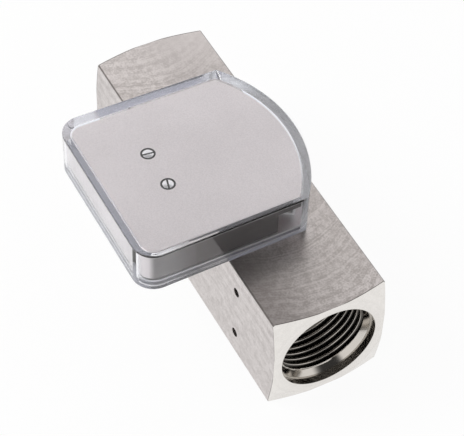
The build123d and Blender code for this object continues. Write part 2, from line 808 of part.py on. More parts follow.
# Scale screws: slotted screws through the strip's feet
scale_head_z = base_top_z + scale_thickness
scale_shank_length = scale_head_z - display_floor_z - scale_screw_floor
scale_screw_slot_length = 2 * (scale_screw_head_radius + stop_gap)
with BuildPart() as scale_screws:
    with Locations(*[(x, y, scale_head_z) for x, y in scale_screw_places]):
        Cylinder(
            scale_screw_head_radius,
            scale_screw_head_height,
            align=(Align.CENTER, Align.CENTER, Align.MIN),
        )
        Cylinder(
            scale_screw_radius,
            scale_shank_length,
            align=(Align.CENTER, Align.CENTER, Align.MAX),
        )
    with BuildSketch(Plane.XY.offset(scale_head_z + scale_screw_head_height)):
        with Locations(*scale_screw_places):
            Rectangle(scale_screw_slot_length, scale_screw_slot_width)
    extrude(amount=-scale_screw_slot_depth, mode=Mode.SUBTRACT)
save(scale_screws.part, "scale_screws")
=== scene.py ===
import json
from math import atan, cos, pi, radians, sin, sqrt, tan

import bpy
from mathutils import Matrix, Quaternion, Vector


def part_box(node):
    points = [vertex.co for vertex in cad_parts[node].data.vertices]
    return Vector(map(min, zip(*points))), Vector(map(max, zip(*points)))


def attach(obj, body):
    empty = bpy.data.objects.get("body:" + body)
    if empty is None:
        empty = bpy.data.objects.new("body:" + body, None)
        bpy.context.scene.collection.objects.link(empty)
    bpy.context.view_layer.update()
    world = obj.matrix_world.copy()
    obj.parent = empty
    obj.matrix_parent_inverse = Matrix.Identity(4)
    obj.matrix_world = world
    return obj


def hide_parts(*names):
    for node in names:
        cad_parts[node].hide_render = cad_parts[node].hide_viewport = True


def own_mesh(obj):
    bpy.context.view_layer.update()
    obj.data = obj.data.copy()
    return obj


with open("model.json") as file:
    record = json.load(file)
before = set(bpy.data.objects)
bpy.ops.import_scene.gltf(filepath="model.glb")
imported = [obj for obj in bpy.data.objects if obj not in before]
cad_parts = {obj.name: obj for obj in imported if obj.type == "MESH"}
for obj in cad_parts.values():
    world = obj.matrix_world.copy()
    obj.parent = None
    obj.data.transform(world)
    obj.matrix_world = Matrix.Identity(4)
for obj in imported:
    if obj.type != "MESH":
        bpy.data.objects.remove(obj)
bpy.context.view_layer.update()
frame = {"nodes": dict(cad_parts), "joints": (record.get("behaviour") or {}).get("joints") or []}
MM = 0.001

# Body: a 40 mm square stainless bar with turned ends, bored from end to end.
# Its top and bottom are milled, so their marks are wide arcs. The ends show
# the rings of the lathe, and the sides keep the faint lines of the drawn bar.
body_low, body_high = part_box("body")
bore_height = (body_low.z + body_high.z) / 2
bar_light = (0.76, 0.715, 0.705, 1)
bar_shade = (0.48, 0.445, 0.43, 1)
end_light = (0.86, 0.835, 0.80, 1)
# Painted reflection: a dark tone for thin lines on the edge chamfers
edge_painted_reflection = (0.10, 0.09, 0.085, 1)
bore_steel = (0.62, 0.59, 0.55, 1)
# Painted shade and reflection of the display: a dark tone on the top beside it
display_shade_steel = (0.20, 0.175, 0.17, 1)
display_shade_share = 0.62
display_shade_start_x = 20 * MM
display_shade_middle_x = 34 * MM
display_shade_end_y = 2 * MM
# Painted sheen: how strongly the top's far end is lightened, at left and right, and where it starts
sheen_left_share = 0.3
sheen_right_share = 0.9
sheen_start_x = -28 * MM
# Oil and painted shade: a dark tone for the thread's grooves
oil_and_groove_shade = (0.09, 0.083, 0.075, 1)
cutter_radius = 34 * MM
chatter_size = 5 * MM
mark_depth = 0.006 * MM
painted_edge_width = 0.28 * MM
edge_chamfer = 0.42 * MM
end_land_radius = 20.7 * MM
end_slope = 0.305
thread_root_radius = 16.62 * MM
thread_crest_radius = 15.145 * MM
lead_in_end_x = 60.9 * MM
mouth_radius = 17 * MM
polish_margin = 0.1 * MM
root_margin = 0.2 * MM
oil_and_shade_rise = 0.3 * MM
wander_size = 2 * MM
facing_range = (0.6, 0.8)
worn_share = 0.35
end_share = 0.85
edge_reflection_share = 0.75
flats_roughness = (0.42, 0.28)
ends_roughness = (0.28, 0.20)
polished_roughness = 0.12
top_anisotropy = 0.45
quarter_turn = 0.25


def node(tree, kind, inputs, **fields):
    """Adds a shader node, sets its fields, and fills its inputs from values or other nodes."""
    added = tree.nodes.new(kind)
    for field, value in fields.items():
        setattr(added, field, value)
    for key, value in inputs.items():
        if isinstance(value, bpy.types.NodeSocket):
            tree.links.new(value, added.inputs[key])
        else:
            added.inputs[key].default_value = value
    return added


def maths(tree, operation, first, second=0.0):
    """One Math node's result."""
    return node(tree, "ShaderNodeMath", {0: first, 1: second}, operation=operation).outputs[0]


def between(tree, factor, first, second):
    """A value mixed from two values."""
    return node(tree, "ShaderNodeMix", {"Factor": factor, "A": first, "B": second}).outputs["Result"]


def tinted(tree, factor, first, second):
    """A colour mixed from two colours."""
    inputs = {"Factor": factor, 6: first, 7: second}
    return node(tree, "ShaderNodeMix", inputs, data_type="RGBA").outputs[2]


def eased(tree, value, low, high, low_to=0.0, high_to=1.0):
    """A value carried smoothly from one range to another, and held at its ends."""
    inputs = {"Value": value, "From Min": low, "From Max": high, "To Min": low_to, "To Max": high_to}
    return node(tree, "ShaderNodeMapRange", inputs, interpolation_type="SMOOTHSTEP").outputs["Result"]


def new_finish(name, color, metallic, roughness):
    """New material with plain values on its Principled shader, with its node tree and shader."""
    material = bpy.data.materials.new(name)
    material.use_nodes = True
    shader = material.node_tree.nodes["Principled BSDF"]
    shader.inputs["Base Color"].default_value = color
    shader.inputs["Metallic"].default_value = metallic
    shader.inputs["Roughness"].default_value = roughness
    return material, material.node_tree, shader


def object_place(tree):
    """Object coordinates, in metres."""
    return node(tree, "ShaderNodeTexCoord", {}).outputs["Object"]


def split(tree, vector):
    """X, Y and Z of a vector."""
    return node(tree, "ShaderNodeSeparateXYZ", {"Vector": vector}).outputs


def object_facing(tree):
    """X, Y and Z of the surface's own normal, as positive shares."""
    normal = node(tree, "ShaderNodeTexCoord", {}).outputs["Normal"]
    size = node(tree, "ShaderNodeVectorMath", {0: normal}, operation="ABSOLUTE").outputs["Vector"]
    return split(tree, size)


def relief(tree, shader, height, depth):
    """Shallow relief of a real depth, in metres, on the shader's normal."""
    bump = node(tree, "ShaderNodeBump", {"Height": height, "Distance": depth, "Strength": 1.0})
    tree.links.new(bump.outputs["Normal"], shader.inputs["Normal"])


def new_group(name, inputs, outputs):
    """Empty shader node group with named sockets, with its input and output nodes."""
    group = bpy.data.node_groups.new(name, "ShaderNodeTree")
    for label, kind in inputs:
        group.interface.new_socket(name=label, in_out="INPUT", socket_type=kind)
    for label in outputs:
        group.interface.new_socket(name=label, in_out="OUTPUT", socket_type="NodeSocketFloat")
    return group, group.nodes.new("NodeGroupInput").outputs, group.nodes.new("NodeGroupOutput").inputs


def placed(tree, group, inputs):
    """A copy of a shared group in a material, by its outputs."""
    added = tree.nodes.new("ShaderNodeGroup")
    added.node_tree = group
    for key, value in inputs.items():
        if isinstance(value, bpy.types.NodeSocket):
            tree.links.new(value, added.inputs[key])
        else:
            added.inputs[key].default_value = value
    return added.outputs


def coat(names, material):
    """Gives one finish to CAD nodes."""
    for name in names:
        for held in frame["nodes"][name].material_slots:
            held.material = material


# Shared effect: soft blotches and a fine speckle, by their number per metre
grain_group, given, made = new_group(
    "stock_grain",
    [("Vector", "NodeSocketVector"), ("Blotches", "NodeSocketFloat"), ("Speckles", "NodeSocketFloat")],
    ["Blotch", "Speckle"],
)
for count, label, detail in (("Blotches", "Blotch", 5.0), ("Speckles", "Speckle", 2.0)):
    inputs = {"Vector": given["Vector"], "Scale": given[count], "Detail": detail}
    noise = node(grain_group, "ShaderNodeTexNoise", inputs)
    grain_group.links.new(noise.outputs["Fac"], made[label])

# Shared effect: uneven lines of a tool, by the distance across them
marks_group, given, made = new_group(
    "tool_marks",
    [("Distance", "NodeSocketFloat"), ("Fine", "NodeSocketFloat"), ("Coarse", "NodeSocketFloat")],
    ["Lines"],
)
line_sets = []
for count, detail in (("Fine", 2.0), ("Coarse", 3.0)):
    across = maths(marks_group, "MULTIPLY", given["Distance"], given[count])
    inputs = {"W": across, "Scale": 1.0, "Detail": detail}
    line_sets.append(node(marks_group, "ShaderNodeTexNoise", inputs, noise_dimensions="1D").outputs["Fac"])
marks_group.links.new(between(marks_group, 0.5, *line_sets), made["Lines"])

body_finish, tree, shader = new_finish("machined_bar", bar_light, 1.0, 0.3)
place = object_place(tree)
axes = split(tree, place)
facing = object_facing(tree)
grain = placed(tree, grain_group, {"Vector": place, "Blotches": 90.0, "Speckles": 1500.0})
curls = placed(tree, grain_group, {"Vector": place, "Blotches": 420.0, "Speckles": 28.0})
off_axis = maths(tree, "MULTIPLY", axes["Y"], axes["Y"])
arc_sag = maths(tree, "SQRT", maths(tree, "SUBTRACT", cutter_radius**2, off_axis))
chatter = maths(tree, "MULTIPLY", grain["Blotch"], chatter_size)
arc_distance = maths(tree, "SUBTRACT", maths(tree, "ADD", axes["X"], chatter), arc_sag)
milled = placed(tree, marks_group, {"Distance": arc_distance, "Fine": 1500.0, "Coarse": 420.0})
rise = maths(tree, "SUBTRACT", axes["Z"], bore_height)
ring_radius = maths(tree, "SQRT", maths(tree, "ADD", off_axis, maths(tree, "MULTIPLY", rise, rise)))
turned = placed(tree, marks_group, {"Distance": ring_radius, "Fine": 3200.0, "Coarse": 700.0})
wander = maths(tree, "MULTIPLY", grain["Blotch"], wander_size)
drawn_distance = maths(tree, "ADD", axes["Z"], wander)
drawn = placed(tree, marks_group, {"Distance": drawn_distance, "Fine": 2400.0, "Coarse": 400.0})
is_end = eased(tree, facing["X"], *facing_range)
is_side = eased(tree, facing["Y"], *facing_range)
is_top = eased(tree, facing["Z"], *facing_range)
lines = between(tree, is_side, milled["Lines"], drawn["Lines"])
lines = between(tree, is_end, lines, turned["Lines"])
patches = maths(tree, "ADD", lines, maths(tree, "ADD", curls["Blotch"], grain["Speckle"]))
tone = between(tree, is_side, eased(tree, patches, 1.2, 1.8), eased(tree, patches, 0.85, 2.15))
steel = tinted(tree, tone, bar_shade, bar_light)
can_wear = maths(tree, "MULTIPLY", is_top, worn_share)
worn = maths(tree, "MULTIPLY", eased(tree, curls["Speckle"], 0.62, 0.38), can_wear)
steel = tinted(tree, worn, steel, bar_shade)
# Painted sheen: the top's far end is lightened towards bar_light, more on the right, as a brighter reflection
# there
from_right = eased(tree, axes["Y"], body_low.y, body_high.y, sheen_left_share, sheen_right_share)
painted_sheen = maths(tree, "MULTIPLY", from_right, eased(tree, axes["X"], sheen_start_x, body_low.x))
steel = tinted(tree, maths(tree, "MULTIPLY", painted_sheen, is_top), steel, bar_light)
# Painted shade and reflection: the top beside the display's near wall is darkened, most at its left edge and
# fading towards the right
from_left = eased(tree, maths(tree, "ADD", axes["Y"], wander), body_low.y, display_shade_end_y, 1.0, 0.0)
from_far = eased(tree, axes["X"], display_shade_start_x, display_shade_middle_x, 0.0, display_shade_share)
has_display_shade = maths(tree, "MULTIPLY", from_left, from_far)
steel = tinted(tree, maths(tree, "MULTIPLY", has_display_shade, is_top), steel, display_shade_steel)
steel = tinted(tree, maths(tree, "MULTIPLY", is_end, end_share), steel, end_light)
along = maths(tree, "ABSOLUTE", axes["X"])
# Painted reflection: thin dark lines along the four long edges and the rims of the turned ends stand in for
# the chamfers' dark reflection
past_land = maths(tree, "SUBTRACT", ring_radius, end_land_radius)
line_start = maths(tree, "SUBTRACT", body_high.x - painted_edge_width, maths(tree, "MULTIPLY", past_land, end_slope))
on_flats = maths(tree, "SUBTRACT", 1.0, is_end)
on_painted_end_edge = maths(tree, "MULTIPLY", maths(tree, "GREATER_THAN", along, line_start), on_flats)
wide = maths(tree, "GREATER_THAN", maths(tree, "ABSOLUTE", axes["Y"]), body_high.y - edge_chamfer)
tall = maths(tree, "GREATER_THAN", maths(tree, "ABSOLUTE", rise), body_high.z - bore_height - edge_chamfer)
on_painted_edge = maths(tree, "MAXIMUM", on_painted_end_edge, maths(tree, "MULTIPLY", wide, tall))
steel = tinted(tree, maths(tree, "MULTIPLY", on_painted_edge, edge_reflection_share), steel, edge_painted_reflection)
is_polished = maths(tree, "LESS_THAN", ring_radius, mouth_radius + polish_margin)
steel = tinted(tree, is_polished, steel, bore_steel)
# Oil and painted shade: in the threads everything but the crests is darkened
in_thread = maths(tree, "LESS_THAN", along, lead_in_end_x)
is_root = eased(tree, ring_radius, thread_crest_radius, thread_crest_radius + oil_and_shade_rise)
is_bore = maths(tree, "LESS_THAN", ring_radius, thread_root_radius + root_margin)
oiled_and_shaded = maths(tree, "MULTIPLY", maths(tree, "MULTIPLY", in_thread, is_bore), is_root)
tree.links.new(tinted(tree, oiled_and_shaded, steel, oil_and_groove_shade), shader.inputs["Base Color"])
rough_flats = eased(tree, patches, 1.0, 2.0, *flats_roughness)
rough_flats = between(tree, is_polished, rough_flats, polished_roughness)
rough_ends = eased(tree, patches, 1.0, 2.0, *ends_roughness)
tree.links.new(between(tree, is_end, rough_flats, rough_ends), shader.inputs["Roughness"])
tree.links.new(maths(tree, "MULTIPLY", is_top, top_anisotropy), shader.inputs["Anisotropic"])
shader.inputs["Anisotropic Rotation"].default_value = quarter_turn
across_marks = node(tree, "ShaderNodeTangent", {}, direction_type="RADIAL", axis="Z")
tree.links.new(across_marks.outputs["Tangent"], shader.inputs["Tangent"])
ripple = between(tree, 0.5, lines, curls["Blotch"])
relief(tree, shader, maths(tree, "MULTIPLY", ripple, eased(tree, is_end, 0, 1, 1.0, 0.1)), mark_depth)
coat(["body"], body_finish)

# Port threads: G 1 pipe threads, tapped in both ends of the bar. Each is one
# helical ridge with a rounded crest, behind a turned lead-in cone.
thread_pitch = 2.309 * MM
thread_flank_angle = radians(27.5)
thread_sink = 0.1 * MM
thread_inner_x = 43.6 * MM
ridge_width = 0.96 * thread_pitch
crest_round = 0.16 * MM
lead_in_mouth_x = 63.0 * MM
lead_in_end_radius = 15.5 * MM
steps_per_turn = 96
bore_center = Vector((0, 0, bore_height))
weld_gap = 0.0005 * MM


def deselect():
    """Leaves nothing selected, in object mode."""
    if bpy.context.mode != "OBJECT":
        bpy.ops.object.mode_set(mode="OBJECT")
    bpy.ops.object.select_all(action="DESELECT")


def begin(name, add, scale=(1, 1, 1), **shape):
    """Adds a primitive at its size and place, and gives it its name."""
    deselect()
    add(**shape)
    piece = bpy.context.object
    piece.name = name
    piece.scale = scale
    bpy.ops.object.transform_apply(location=True, rotation=True, scale=True)
    return piece


def edit(piece, elements, wanted, mode="VERT"):
    """Opens a piece for editing with just the elements selected that a test wants."""
    deselect()
    piece.select_set(True)
    bpy.context.view_layer.objects.active = piece
    bpy.ops.object.mode_set(mode="EDIT")
    bpy.ops.mesh.select_mode(type=mode)
    bpy.ops.mesh.select_all(action="DESELECT")
    bpy.ops.object.mode_set(mode="OBJECT")
    for element in getattr(piece.data, elements):
        element.select = wanted(element)
    bpy.ops.object.mode_set(mode="EDIT")


def everything(element):
    """Wants every element."""
    return True


def modified(piece, kind, **fields):
    """Puts a modifier on a piece and applies it."""
    deselect()
    piece.select_set(True)
    bpy.context.view_layer.objects.active = piece
    modifier = piece.modifiers.new(kind.lower(), kind)
    for field, value in fields.items():
        setattr(modifier, field, value)
    bpy.ops.object.modifier_apply(modifier=modifier.name)


def wound(profile, center, offset=0.0, turns=1, steps=64, merge=False):
    """Turns a flat profile about the X axis, as a closed ring or helix, and moves it to its center."""
    edit(profile, "vertices", everything)
    bpy.ops.mesh.delete(type="ONLY_FACE")
    bpy.ops.object.mode_set(mode="OBJECT")
    sweep = {"axis": "X", "screw_offset": offset, "iterations": turns, "steps": steps, "render_steps": steps}
    modified(profile, "SCREW", use_merge_vertices=merge, **sweep)
    edit(profile, "vertices", everything)
    bpy.ops.mesh.fill_holes(sides=0)
    bpy.ops.mesh.select_all(action="SELECT")
    bpy.ops.transform.translate(value=center)
    bpy.ops.object.mode_set(mode="OBJECT")


def finished(piece, body, material, smooth_angle=30):
    """Closes a piece: normals outwards, smooth shading, its body, slot and material."""
    edit(piece, "vertices", everything)
    bpy.ops.mesh.remove_doubles(threshold=weld_gap)
    bpy.ops.mesh.normals_make_consistent(inside=False)
    bpy.ops.object.mode_set(mode="OBJECT")
    bpy.ops.object.shade_smooth_by_angle(angle=radians(smooth_angle))
    piece.data.materials.clear()
    piece.data.materials.append(material)
    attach(piece, body)


ridge_depth = thread_root_radius + thread_sink - thread_crest_radius
ridge_middle = thread_crest_radius + ridge_depth / 2
crest_share = 1 - 2 * ridge_depth * tan(thread_flank_angle) / ridge_width
thread_turns = round((lead_in_mouth_x - thread_inner_x) / thread_pitch)
cone_middle_x = (lead_in_mouth_x + lead_in_end_x) / 2
cone_length = lead_in_mouth_x - lead_in_end_x
cone_slope = (thread_root_radius - lead_in_end_radius) / cone_length
for end, end_name in ((1, "inlet"), (-1, "outlet")):
    start_x = thread_inner_x if end > 0 else -thread_inner_x - thread_turns * thread_pitch
    ridge = begin(
        f"{end_name}_thread",
        bpy.ops.mesh.primitive_plane_add,
        size=1,
        location=(start_x, 0, ridge_middle),
        rotation=(pi / 2, 0, 0),
        scale=(ridge_width, ridge_depth, 1),
    )
    edit(ridge, "vertices", lambda v: v.co.z < ridge_middle)
    bpy.ops.transform.resize(value=(crest_share, 1, 1), center_override=(start_x, 0, 0))
    bpy.ops.mesh.bevel(offset=crest_round, segments=3, affect="VERTICES")
    bpy.ops.object.mode_set(mode="OBJECT")
    wound(ridge, bore_center, thread_pitch, thread_turns, steps_per_turn)
    # The cone cuts the first turns down towards the wall
    for vertex in ridge.data.vertices:
        arm = (vertex.co - bore_center) * Vector((0, 1, 1))
        past = end * vertex.co.x - lead_in_end_x
        least = lead_in_end_radius + thread_sink / 2 + past * cone_slope
        if past > 0 and arm.length < least:
            vertex.co += arm.normalized() * (least - arm.length)
    finished(ridge, "meter", body_finish)

    cone = begin(
        f"{end_name}_lead_in",
        bpy.ops.mesh.primitive_plane_add,
        size=1,
        location=(end * cone_middle_x, 0, thread_root_radius),
        rotation=(pi / 2, 0, 0),
        scale=(cone_length, 2 * thread_sink, 1),
    )
    edit(cone, "vertices", lambda v: v.co.z < thread_root_radius and end * v.co.x < cone_middle_x)
    bpy.ops.transform.translate(value=(0, 0, lead_in_end_radius - thread_root_radius + thread_sink))
    bpy.ops.object.mode_set(mode="OBJECT")
    wound(cone, bore_center, steps=128, merge=True)
    finished(cone, "meter", body_finish)

# Pieces in the bore, and the pointer's post: turned from stainless bar, so
# their marks run round their axis. Both tones are darkened as painted shade
# in the bore, and the post takes the same tones.
shaded_turned_light = (0.50, 0.48, 0.46, 1)
shaded_turned_dark = (0.30, 0.285, 0.27, 1)
turned_finish, tree, shader = new_finish("turned_steel", shaded_turned_light, 1.0, 0.24)
place = object_place(tree)
axes = split(tree, place)
rise = maths(tree, "SUBTRACT", axes["Z"], bore_height)
off_axis = maths(tree, "MULTIPLY", axes["Y"], axes["Y"])
squares = maths(tree, "ADD", off_axis, maths(tree, "MULTIPLY", rise, rise))
tool_path = maths(tree, "ADD", maths(tree, "SQRT", squares), axes["X"])
turned = placed(tree, marks_group, {"Distance": tool_path, "Fine": 5200.0, "Coarse": 1100.0})
grain = placed(tree, grain_group, {"Vector": place, "Blotches": 160.0, "Speckles": 3000.0})
tone = eased(tree, maths(tree, "ADD", turned["Lines"], grain["Blotch"]), 0.7, 1.3)
tree.links.new(tinted(tree, tone, shaded_turned_dark, shaded_turned_light), shader.inputs["Base Color"])
tree.links.new(eased(tree, turned["Lines"], 0.3, 0.7, 0.32, 0.18), shader.inputs["Roughness"])
relief(tree, shader, turned["Lines"], 0.003 * MM)
turned_pieces = ["metering_sleeve", "inlet_spider", "outlet_spider", "guide_rod", "float_body", "float_cap"]
coat(turned_pieces + ["pivot_post"], turned_finish)

# Return spring: round drawn wire, wound with one closed turn at each end
# between the outlet hub and the float. Circlips and the pivot clip are
# stamped from the same blue-grey spring steel.
spring_low, spring_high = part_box("return_spring")
spring_turns = 8
spring_closed_turns = 1
wire_radius = 0.35 * MM
wire_sides = 12
coil_steps = 48
coil_radius = (spring_high.z - spring_low.z) / 2 - wire_radius
spring_light = (0.36, 0.36, 0.37, 1)
spring_shade = (0.22, 0.215, 0.215, 1)


def grained(name, light, shade, metallic, roughness, grains, depth):
    """Two close tones with a fine grain of a real depth; grains holds blotches and speckles per metre."""
    roughest, smoothest = roughness
    blotches, speckles = grains
    material, tree, shader = new_finish(name, light, metallic, (roughest + smoothest) / 2)
    place = object_place(tree)
    grain = placed(tree, grain_group, {"Vector": place, "Blotches": blotches, "Speckles": speckles})
    tone = eased(tree, maths(tree, "ADD", grain["Blotch"], grain["Speckle"]), 0.75, 1.25)
    tree.links.new(tinted(tree, tone, shade, light), shader.inputs["Base Color"])
    tree.links.new(eased(tree, grain["Speckle"], 0.3, 0.7, roughest, smoothest), shader.inputs["Roughness"])
    relief(tree, shader, grain["Speckle"], depth)
    return material


spring_finish = grained(
    "spring_steel", spring_light, spring_shade,
    metallic=1.0, roughness=(0.38, 0.24), grains=(260.0, 4200.0), depth=0.002 * MM,
)
coat(["inlet_circlip", "outlet_circlip", "pivot_clip"], spring_finish)
wire_start_x = spring_low.x + wire_radius
coil_length = spring_high.x - spring_low.x - 2 * wire_radius
spring = begin(
    "return_spring_coil",
    bpy.ops.mesh.primitive_circle_add,
    vertices=wire_sides,
    radius=wire_radius,
    location=(wire_start_x, 0, coil_radius),
    rotation=(pi / 2, 0, 0),
)
wound(spring, bore_center, coil_length / spring_turns, spring_turns, coil_steps)
closed_length = 2 * spring_closed_turns * 2 * wire_radius
open_pitch = (coil_length - closed_length) / (spring_turns - 2 * spring_closed_turns)
for vertex in spring.data.vertices:
    turn = min(vertex.index // wire_sides, spring_turns * coil_steps) / coil_steps
    closed = min(turn, spring_closed_turns) + max(0, turn - spring_turns + spring_closed_turns)
    reached = closed * 2 * wire_radius + (turn - closed) * open_pitch
    vertex.co.x += reached - turn * coil_length / spring_turns
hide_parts("return_spring")
finished(spring, "meter", spring_finish, 60)
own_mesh(spring)

# Seals: the sleeve's ring is black moulded rubber, and the cover's cord is
# grey silicone. Both are pressed into their grooves.
seal_finish = grained(
    "seal_rubber", (0.035, 0.035, 0.035, 1), (0.02, 0.02, 0.02, 1),
    metallic=0.0, roughness=(0.75, 0.5), grains=(300.0, 2500.0), depth=0.006 * MM,
)
coat(["sleeve_seal"], seal_finish)
silicone_finish = grained(
    "grey_silicone", (0.30, 0.30, 0.32, 1), (0.20, 0.20, 0.215, 1),
    metallic=0.0, roughness=(0.6, 0.4), grains=(300.0, 2500.0), depth=0.006 * MM,
)
coat(["cover_seal"], silicone_finish)

# Base plate and magnet arm: bead-blasted aluminium, sawn from plate
plate_finish = grained(
    "blasted_aluminium", (0.76, 0.755, 0.76, 1), (0.66, 0.655, 0.66, 1),
    metallic=1.0, roughness=(0.52, 0.40), grains=(60.0, 3600.0), depth=0.006 * MM,
)
coat(["base_plate", "magnet_arm"], plate_finish)

# Pillars, pointer hub and counterweight: brass turned about upright axes
brass_light = (0.76, 0.58, 0.30, 1)
brass_shade = (0.62, 0.44, 0.20, 1)
brass_finish, tree, shader = new_finish("turned_brass", brass_light, 1.0, 0.25)
place = object_place(tree)
turned = placed(tree, marks_group, {"Distance": split(tree, place)["Z"], "Fine": 6000.0, "Coarse": 1500.0})
grain = placed(tree, grain_group, {"Vector": place, "Blotches": 240.0, "Speckles": 3000.0})
tone = eased(tree, maths(tree, "ADD", turned["Lines"], grain["Blotch"]), 0.7, 1.3)
tree.links.new(tinted(tree, tone, brass_shade, brass_light), shader.inputs["Base Color"])
tree.links.new(eased(tree, turned["Lines"], 0.3, 0.7, 0.34, 0.2), shader.inputs["Roughness"])
relief(tree, shader, turned["Lines"], 0.003 * MM)
coat(["hood_pillars", "pointer_hub", "counterweight"], brass_finish)

# Magnets: sintered, with a bright nickel plate that keeps a slight orange peel
nickel_finish = grained(
    "nickel_plate", (0.70, 0.685, 0.66, 1), (0.62, 0.60, 0.57, 1),
    metallic=1.0, roughness=(0.2, 0.12), grains=(180.0, 1400.0), depth=0.004 * MM,
)
coat(["float_magnet", "follower_magnet"], nickel_finish)

# Bushes: white sliding plastic, turned, slightly translucent at its edges
bush_finish = grained(
    "sliding_plastic", (0.86, 0.85, 0.82, 1), (0.80, 0.79, 0.75, 1),
    metallic=0.0, roughness=(0.48, 0.36), grains=(200.0, 2200.0), depth=0.004 * MM,
)
bush_finish.node_tree.nodes["Principled BSDF"].inputs["Subsurface Weight"].default_value = 0.15
bush_finish.node_tree.nodes["Principled BSDF"].inputs["Subsurface Scale"].default_value = 0.5 * MM
coat(["float_bushes", "hub_bush"], bush_finish)

# Scale: a white enamelled strip behind the window, read from its outer face.
# Its marks and plain numbers are printed: nought where the pointer rests.
cover_low, cover_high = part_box("clear_cover")
_, scale_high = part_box("scale_strip")
cover_middle_x = (cover_low.x + cover_high.x) / 2
window_radius = 50 * MM
pivot_y = cover_high.y - window_radius
print_radius = 45.0 * MM
print_thickness = 0.02 * MM
swing = next(j for j in frame["joints"] if j["name"] == "pointer_swing")
half_swing = radians(swing["range_deg"][1]) / 2
divisions = 20
divisions_per_number = 4
division_width = 0.22 * MM
division_heights = (1.1 * MM, 1.7 * MM, 2.2 * MM)
number_size = 2.6 * MM
number_gap = 0.5 * MM
ink = (0.012, 0.012, 0.014, 1)
scale_finish = grained(
    "white_enamel", (0.88, 0.88, 0.87, 1), (0.84, 0.84, 0.825, 1),
    metallic=0.0, roughness=(0.3, 0.2), grains=(120.0, 900.0), depth=0.003 * MM,
)
coat(["scale_strip"], scale_finish)
ink_finish = grained(
    "printed_ink", ink, (0.02, 0.02, 0.022, 1),
    metallic=0.0, roughness=(0.5, 0.4), grains=(300.0, 4000.0), depth=0.001 * MM,
)


def at_scale(angle, height):
    """Place on the printed face, turned so that +Y faces outwards; angle from +Y towards +X."""
    spot = Vector((cover_middle_x + print_radius * sin(angle), pivot_y + print_radius * cos(angle), height))
    return Matrix.Translation(spot) @ Matrix.Rotation(-angle, 4, "Z")


def settled(piece, place):
    """Carries a piece to its place, by its mesh."""
    piece.matrix_world = place
    deselect()
    piece.select_set(True)
    bpy.context.view_layer.objects.active = piece
    bpy.ops.object.transform_apply(location=True, rotation=True, scale=True)


printed = []
for step in range(divisions + 1):
    angle = half_swing * (1 - 2 * step / divisions)
    rank = (step % 2 == 0) + (step % divisions_per_number == 0)
    height = division_heights[rank]
    mark_size = (division_width, 2 * print_thickness, height)
    mark = begin("mark", bpy.ops.mesh.primitive_cube_add, size=1, scale=mark_size)
    settled(mark, at_scale(angle, scale_high.z - height / 2))
    printed.append(mark)
    if step % divisions_per_number == 0:
        deselect()
        bpy.ops.object.text_add()
        number = bpy.context.object
        number.data.body = str(step // 2)
        number.data.size = number_size
        number.data.align_x = "CENTER"
        number.data.align_y = "TOP"
        number.data.extrude = print_thickness
        number.data.resolution_u = 4
        bpy.ops.object.convert(target="MESH")
        upright = Matrix.Rotation(pi, 4, "Z") @ Matrix.Rotation(pi / 2, 4, "X")
        top = scale_high.z - division_heights[2] - number_gap
        settled(number, at_scale(angle, top) @ upright)
        printed.append(number)
deselect()
for mark in printed:
    mark.select_set(True)
marks = printed[0]
bpy.context.view_layer.objects.active = marks
bpy.ops.object.join()
marks.name = "scale_marks"
finished(marks, "meter", ink_finish)

# Pointer: a strip of steel sheet, painted red by spray
pointer_finish = grained(
    "red_paint", (0.66, 0.035, 0.022, 1), (0.54, 0.025, 0.018, 1),
    metallic=0.0, roughness=(0.38, 0.26), grains=(150.0, 1600.0), depth=0.005 * MM,
)
pointer_finish.node_tree.nodes["Principled BSDF"].inputs["Coat Weight"].default_value = 0.3
coat(["pointer"], pointer_finish)

# Hood: bent and blasted sheet that hides the mechanism, with a brushed skirt
# on three sides. Two screws hold it to pillars, in counterbores in its top,
# with painted shade in the gap round each head. Its near skirt and left bend
# are darkened by painted reflection.
hood_low, hood_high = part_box("mechanism_hood")
window_corner = 2 * MM
back_corner = 7.5 * MM
least_corner = 0.5 * MM
arc_segments = 384
corner_segments = 12
round_segments = 4
corner_reach = 1.3
same_place = 1e-6
hood_skirt = 1.4 * MM
hood_top = 2.0 * MM
hood_round = 0.3 * MM
hood_inset = hood_low.x - cover_low.x
skirt_end_y = -2.0 * MM
cut_past = 2 * MM
screw_low, screw_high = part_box("hood_screws")
screw_spacing = 14.5 * MM
screw_head_radius = 1.87 * MM
screw_head_height = 1.3 * MM
counterbore_radius = 2.48 * MM
bore_margin = 0.03 * MM
screw_sides = 64
screw_y = (screw_low.y + screw_high.y) / 2
screw_places = [
    Vector(((screw_low.x + screw_high.x + side * screw_spacing) / 2, screw_y, hood_high.z)) for side in (-1, 1)
]
# Painted reflection on the near skirt: where it fades along the skirt, and its strength at each end
skirt_fade_start = hood_low.y + 4 * MM
skirt_fade_end = hood_low.y + 24 * MM
skirt_reflection_shares = (0.72, 0.92)
top_roughness = (0.42, 0.34)
skirt_roughness = (0.40, 0.32)
long_side_roughness = 0.6
hood_light = (0.855, 0.80, 0.782, 1)
hood_shade = (0.74, 0.69, 0.675, 1)
# Painted reflection: a dark tone for the near skirt
near_skirt_painted_reflection = (0.10, 0.095, 0.09, 1)
# Painted reflection: a darker tone for the rounded left bend of the top
bend_painted_reflection = (0.46, 0.44, 0.45, 1)
# Painted shade: a near-black tone in the counterbores and on the sunk parts of the screws
recess_painted_shade = (0.015, 0.015, 0.015, 1)


